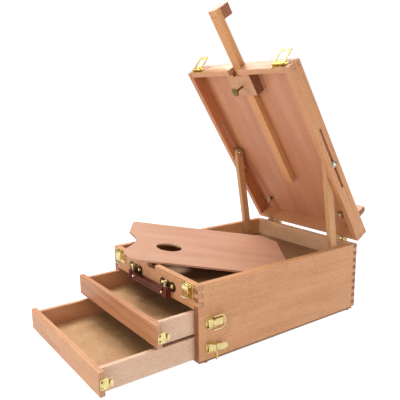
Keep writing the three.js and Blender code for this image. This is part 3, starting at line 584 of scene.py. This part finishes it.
def hinge_screws(side, x):
    spots = [x * HINGE["x"] + step * HINGE["spacing"] for step in (-1, 0, 1)]
    in_leaf = [in_case(at, HINGE["case_face"], HINGE["z"]) for at in spots]
    screw_heads(f"hinge_{side}_case_screws", in_leaf, BACK, HINGE["screw"], "case", WORN_BRASS)
    in_leaf = [in_lid(at, HINGE["lid_face"], HINGE["t"]) for at in spots]
    screw_heads(f"hinge_{side}_lid_screws", in_leaf, -LID_ALONG, HINGE["screw"], "lid", WORN_BRASS)


def catch_and_hasp_screws(side, x):
    spots = [in_case(x * CATCH["x"] + step * CATCH["spread"], CATCH["face"], z)
             for step in (-1, 1) for z in CATCH["rows"]]
    screw_heads(f"catch_{side}_screws", spots, FORWARD, CATCH["screw"], "case", WORN_BRASS)
    spots = [in_lid(x * HASP["x"] + step * HASP["spacing"], HASP["face"], HASP["t"]) for step in (-1, 0, 1)]
    screw_heads(f"hasp_{side}_screws", spots, LID_ALONG, HASP["screw"], "lid", WORN_BRASS)


def handle_screws(side, x):
    spots = [in_case(x * HANDLE_PLATE["x"] + step * HANDLE_PLATE["spread"], HANDLE_PLATE["face"],
                     HANDLE_PLATE["z"]) for step in (-1, 1)]
    screw_heads(f"handle_{side}_screws", spots, FORWARD, HANDLE_PLATE["screw"], "case", PALE_BRASS, 0.5)


def strut_screw(side, x):
    foot = Vector((in_case(x * STRUT["inner_face"], 0, 0).x, STRUT_FOOT.y, STRUT_FOOT.z))
    inner = Vector((-x, 0, 0))
    screw_heads(f"strut_{side}_foot_screw", [foot], inner, STRUT["screw"], f"strut_{side}", WORN_BRASS, 0.5)


def ledge_bolt(side, x):
    at = x * LEDGE_BOLT["x"], LEDGE_BOLT["l"]
    threaded_rod(f"ledge_bolt_{side}_thread", in_lid(*at, LEDGE_BOLT["inside"]), -LID_OUT,
                 LEDGE_BOLT["radius"], LEDGE_BOLT["length"], "lid", PLATED_STEEL)
    dome_heads(f"ledge_bolt_{side}_head", [in_lid(*at, LEDGE_BOLT["outside"])], LID_OUT,
               LEDGE_BOLT["head"], LEDGE_BOLT["head_height"], "lid", PLATED_STEEL)


def drawer_screws(drawer, out, z):
    spots = [in_case(KEEPER["face"], KEEPER["y"] - out, z + step * KEEPER["spread"]) for step in (-1, 1)]
    screw_heads(f"{drawer}_hook_screws", spots, X, KEEPER["screw"], f"{drawer}_drawer", WORN_BRASS)
    spots = [in_case(LATCH["face"], y, z + step * dz) for y, dz in LATCH["corners"] for step in (-1, 1)]
    screw_heads(f"{drawer}_latch_screws", spots, X, LATCH["screw"], "case", WORN_BRASS)


for side, x in SIDES:
    hinge_screws(side, x)
    catch_and_hasp_screws(side, x)
    handle_screws(side, x)
    strut_screw(side, x)
    ledge_bolt(side, x)
for drawer, (out, z) in DRAWERS.items():
    drawer_screws(drawer, out, z)
dome_heads("mast_nails", [in_lid(x, MAST_NAILS["l"], MAST_NAILS["t"]) for x in MAST_NAILS["xs"]],
           -LID_OUT, MAST_NAILS["radius"], MAST_NAILS["height"], "mast", ANTIQUE_BRASS)

# The grip, in case coordinates: its front face, rows of stitches, and where rows and rivets end.
GRIP_FACE = -11.5
STITCH_ROWS = (94.6, 101.8)
STITCH_END, STITCH_COUNT, STITCH_SLANT = 49, 27, 0.12
STITCH_PROFILE = [(0.0, -1.35), (0.32, -1.15), (0.46, -0.6), (0.46, 0.6), (0.32, 1.15), (0.0, 1.35)]
RIVET_X, RIVET_Z = 52, 98.2


def waxed_thread():
    """Pale tan thread with a fine twist."""
    n = Nodes("waxed_thread")
    twist = n.noise(n.place(), 1800.0)
    color = n.ramp(twist, (0.3, srgb(150, 110, 84)), (0.7, srgb(196, 158, 124)))
    return n.finish(base_color=color, roughness=0.7, normal=n.bump(twist, 0.4, 0.0002))


def stitches():
    """Two rows of thread along the front of the grip, and a rivet at each end."""
    lying = Matrix.Rotation(math.pi / 2, 4, "Y") @ Matrix.Rotation(STITCH_SLANT, 4, "X")
    flattened = Matrix.Diagonal((1, 0.8, 1, 1))
    bm = bmesh.new()
    for z in STITCH_ROWS:
        for k in range(STITCH_COUNT):
            x = -STITCH_END + 2 * STITCH_END * k / (STITCH_COUNT - 1)
            matrix = Matrix.Translation(in_case(x, GRIP_FACE, z)) @ lying @ flattened
            turned_mesh(bm, STITCH_PROFILE, matrix, 8)
    piece("grip_stitches", bm, waxed_thread(), "handle", 60)
    spots = [in_case(x * RIVET_X, GRIP_FACE, RIVET_Z) for x in (-1, 1)]
    dome_heads("grip_rivets", spots, FORWARD, 2.4, 1.3, "handle", PALE_BRASS)


stitches()

# ------------------------------------------------------------------ camera
# place is in case coordinates; angles are in degrees, the lens in millimetres on a 36 mm sensor.
CAMERA = dict(place=(813.8, -465.0, 443.7), azimuth=54.97, down=12.96, roll=-0.98, lens=47.6,
              shift=(0.008, 0.034))


def make_camera():
    data = bpy.data.cameras.new("camera")
    data.sensor_width = 36
    data.lens = CAMERA["lens"]
    data.shift_x, data.shift_y = CAMERA["shift"]
    data.clip_start, data.clip_end = 0.01, 20
    camera = bpy.data.objects.new("camera", data)
    bpy.context.scene.collection.objects.link(camera)
    azimuth, down, roll = (math.radians(CAMERA[key]) for key in ("azimuth", "down", "roll"))
    forward = Vector((-math.sin(azimuth) * math.cos(down),
                      math.cos(azimuth) * math.cos(down),
                      -math.sin(down)))
    level = Vector((math.cos(azimuth), math.sin(azimuth), 0))
    up = level.cross(forward)
    right = math.cos(roll) * level + math.sin(roll) * up
    up = -math.sin(roll) * level + math.cos(roll) * up
    turn = Matrix((right, up, -forward)).transposed()
    camera.matrix_world = Matrix.Translation(in_case(*CAMERA["place"])) @ turn.to_4x4()
    bpy.context.scene.camera = camera


# --------------------------------------------------------- floor and light
AMBIENT = (0.06, 0.50)    # strength of the surrounding light at the horizon and overhead
FLOOR_HALF = 6.0          # half the floor's side, in metres
FLOOR_BOUNCE = 0.62       # light that the floor gives back to the object
FLOOR_SEEN = 0.92         # light that the camera sees from it
LIGHTS = (
    # name, place, target, size, watts
    ("key", (-1.2, 0.05, 2.1), (0, 0, 0.25), 1.0, 52),
    ("fill", (2.2, 0.5, 0.3), (0, 0, 0.15), 1.2, 21),
    ("front", (-1.1, -2.1, 0.25), (0, 0, 0.15), 0.4, 14),
    ("near", (0.9, -2.0, 0.9), (0, 0, 0.15), 0.6, 9),
    ("top", (0.3, -0.9, 2.3), (0, 0.1, 0.1), 1.0, 12),
)


def make_floor():
    mesh = bpy.data.meshes.new("floor")
    corners = [(x * FLOOR_HALF, y * FLOOR_HALF, 0) for x, y in ((-1, -1), (1, -1), (1, 1), (-1, 1))]
    mesh.from_pydata(corners, [], [(0, 1, 2, 3)])
    floor = bpy.data.objects.new("floor", mesh)
    bpy.context.scene.collection.objects.link(floor)
    n = Nodes("floor")
    shade = n.ramp(n.noise(n.place(), 40.0), (0.3, (0.27, 0.27, 0.27)), (0.7, (0.29, 0.29, 0.29)))
    seen = n.add("ShaderNodeLightPath").outputs["Is Camera Ray"]
    mesh.materials.append(n.finish(base_color=shade, roughness=0.9, emission_color=(1, 1, 1, 1),
                                   emission_strength=n.range(seen, 0, 1, FLOOR_BOUNCE, FLOOR_SEEN)))


def make_world():
    """White to the camera; other rays see a room that is brighter overhead than at the horizon."""
    world = bpy.data.worlds.new("studio")
    world.use_nodes = True
    tree = world.node_tree
    background = tree.nodes["Background"]
    background.inputs["Color"].default_value = (1, 1, 1, 1)
    rays = tree.nodes.new("ShaderNodeLightPath")
    direction = tree.nodes.new("ShaderNodeTexCoord")
    height = tree.nodes.new("ShaderNodeSeparateXYZ")
    sky = tree.nodes.new("ShaderNodeMapRange")
    sky.inputs["To Min"].default_value, sky.inputs["To Max"].default_value = AMBIENT
    strength = tree.nodes.new("ShaderNodeMix")
    strength.inputs["B"].default_value = 1.0
    tree.links.new(direction.outputs["Generated"], height.inputs["Vector"])
    tree.links.new(height.outputs["Z"], sky.inputs["Value"])
    tree.links.new(rays.outputs["Is Camera Ray"], strength.inputs["Factor"])
    tree.links.new(sky.outputs["Result"], strength.inputs["A"])
    tree.links.new(strength.outputs["Result"], background.inputs["Strength"])
    bpy.context.scene.world = world
    bpy.context.scene.view_settings.view_transform = "Standard"


def make_lights():
    for name, place, target, size, power in LIGHTS:
        data = bpy.data.lights.new(name, "AREA")
        data.size, data.energy = size, power
        light = bpy.data.objects.new(name, data)
        bpy.context.scene.collection.objects.link(light)
        light.location = place
        light.rotation_euler = (Vector(target) - Vector(place)).to_track_quat("-Z", "Y").to_euler()


make_camera()
make_floor()
make_world()
make_lights()
